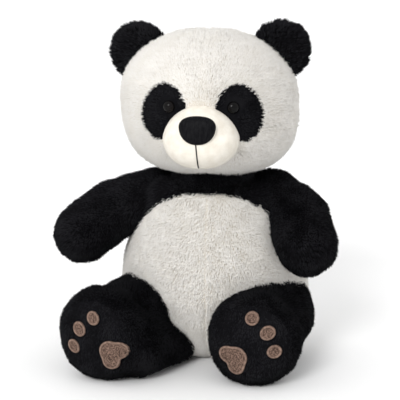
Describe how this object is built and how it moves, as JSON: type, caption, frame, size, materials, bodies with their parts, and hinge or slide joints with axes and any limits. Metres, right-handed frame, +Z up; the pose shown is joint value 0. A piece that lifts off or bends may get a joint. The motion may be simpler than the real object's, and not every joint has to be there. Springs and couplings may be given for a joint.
{
  "type": "plush panda",
  "caption": "Seated stuffed toy panda with black ears, eye patches, arms and legs, a white head and belly, a padded muzzle and paw pads on its soles.",
  "frame": {"origin": "centre of the flat seat panel, on the surface that the toy sits on", "axes": "+Z up, the toy faces -Y, its own left side is at +X"},
  "size_m": [0.275, 0.2226, 0.326],
  "materials": {
    "white_plush": "short cream-white pile",
    "black_plush": "short black pile",
    "muzzle_plush": "smooth shorn pile",
    "nose_satin": "padded satin",
    "black_thread": "twisted thread",
    "pad_cloth": "speckled cloth with a stitched rim",
    "fibre_fill": "loose polyester fibre",
    "pellet_cloth": "plain woven bag",
    "eye_plastic": "polished",
    "washer_plastic": "moulded"
  },
  "bodies": {
    "torso": {"seat_panel": "white_plush", "chest_yoke": "black_plush", "back_yoke": "black_plush", "belly_panel_left": "white_plush", "belly_panel_right": "white_plush", "back_panel_left": "white_plush", "back_panel_right": "white_plush", "body_stuffing": "fibre_fill", "pellet_bag": "pellet_cloth"},
    "neck": {"neck_cover": "black_plush", "neck_stuffing": "fibre_fill"},
    "head": {"face_panel_left": "white_plush", "face_panel_right": "white_plush", "head_back_left": "white_plush", "head_back_right": "white_plush", "head_stuffing": "fibre_fill", "eye_patch_left": "black_plush", "eye_patch_right": "black_plush", "eye_left": "eye_plastic", "eye_right": "eye_plastic", "eye_washer_left": "washer_plastic", "eye_washer_right": "washer_plastic", "muzzle_cover": "muzzle_plush", "muzzle_stuffing": "fibre_fill", "nose_patch": "nose_satin", "mouth_stitch": "black_thread"},
    "ear_left": {"ear_front_left": "black_plush", "ear_back_left": "black_plush"},
    "ear_right": {"ear_front_right": "black_plush", "ear_back_right": "black_plush"},
    "arm_left": {"arm_front_left": "black_plush", "arm_back_left": "black_plush", "arm_stuffing_left": "fibre_fill"},
    "arm_right": {"arm_front_right": "black_plush", "arm_back_right": "black_plush", "arm_stuffing_right": "fibre_fill"},
    "leg_left": {"leg_outer_left": "black_plush", "leg_inner_left": "black_plush", "leg_stuffing_left": "fibre_fill", "sole_left": "black_plush", "toe_pads_left": "pad_cloth", "heel_pad_left": "pad_cloth"},
    "leg_right": {"leg_outer_right": "black_plush", "leg_inner_right": "black_plush", "leg_stuffing_right": "fibre_fill", "sole_right": "black_plush", "toe_pads_right": "pad_cloth", "heel_pad_right": "pad_cloth"}
  },
  "joints": [
    {"name": "head_turn", "type": "hinge", "parent": "torso", "child": "neck", "pos_m": [0, -0.018, 0.162], "axis": [0, 0, 1], "range_deg": [-20, 20], "stiffness_Nm_per_rad": 1},
    {"name": "head_nod", "type": "hinge", "parent": "neck", "child": "head", "pos_m": [0, -0.018, 0.162], "axis": [1, 0, 0], "range_deg": [-8, 8], "stiffness_Nm_per_rad": 3},
    {"name": "ear_fold_left", "type": "hinge", "parent": "head", "child": "ear_left", "pos_m": [0.05911, -0.01982, 0.2925], "axis": [-0.7292, -0.0255, 0.6838], "range_deg": [-12, 12], "stiffness_Nm_per_rad": 0.05},
    {"name": "ear_fold_right", "type": "hinge", "parent": "head", "child": "ear_right", "pos_m": [-0.06581, -0.02419, 0.2925], "axis": [0.7292, 0.0255, 0.6838], "range_deg": [-12, 12], "stiffness_Nm_per_rad": 0.05},
    {"name": "arm_lift_left", "type": "hinge", "parent": "torso", "child": "arm_left", "pos_m": [0.066, -0.008, 0.151], "axis": [-0.9006, -0.4347, 0], "range_deg": [-8, 45], "stiffness_Nm_per_rad": 1},
    {"name": "arm_lift_right", "type": "hinge", "parent": "torso", "child": "arm_right", "pos_m": [-0.066, -0.008, 0.151], "axis": [-0.519, 0.8548, 0], "range_deg": [-8, 45], "stiffness_Nm_per_rad": 1},
    {"name": "leg_lift_left", "type": "hinge", "parent": "torso", "child": "leg_left", "pos_m": [0.054, -0.024, 0.0385], "axis": [-0.9994, -0.0357, 0], "range_deg": [-8, 18], "stiffness_Nm_per_rad": 1.5},
    {"name": "leg_lift_right", "type": "hinge", "parent": "torso", "child": "leg_right", "pos_m": [-0.054, -0.024, 0.0385], "axis": [-0.9445, 0.3285, 0], "range_deg": [-8, 18], "stiffness_Nm_per_rad": 1.5}
  ]
}
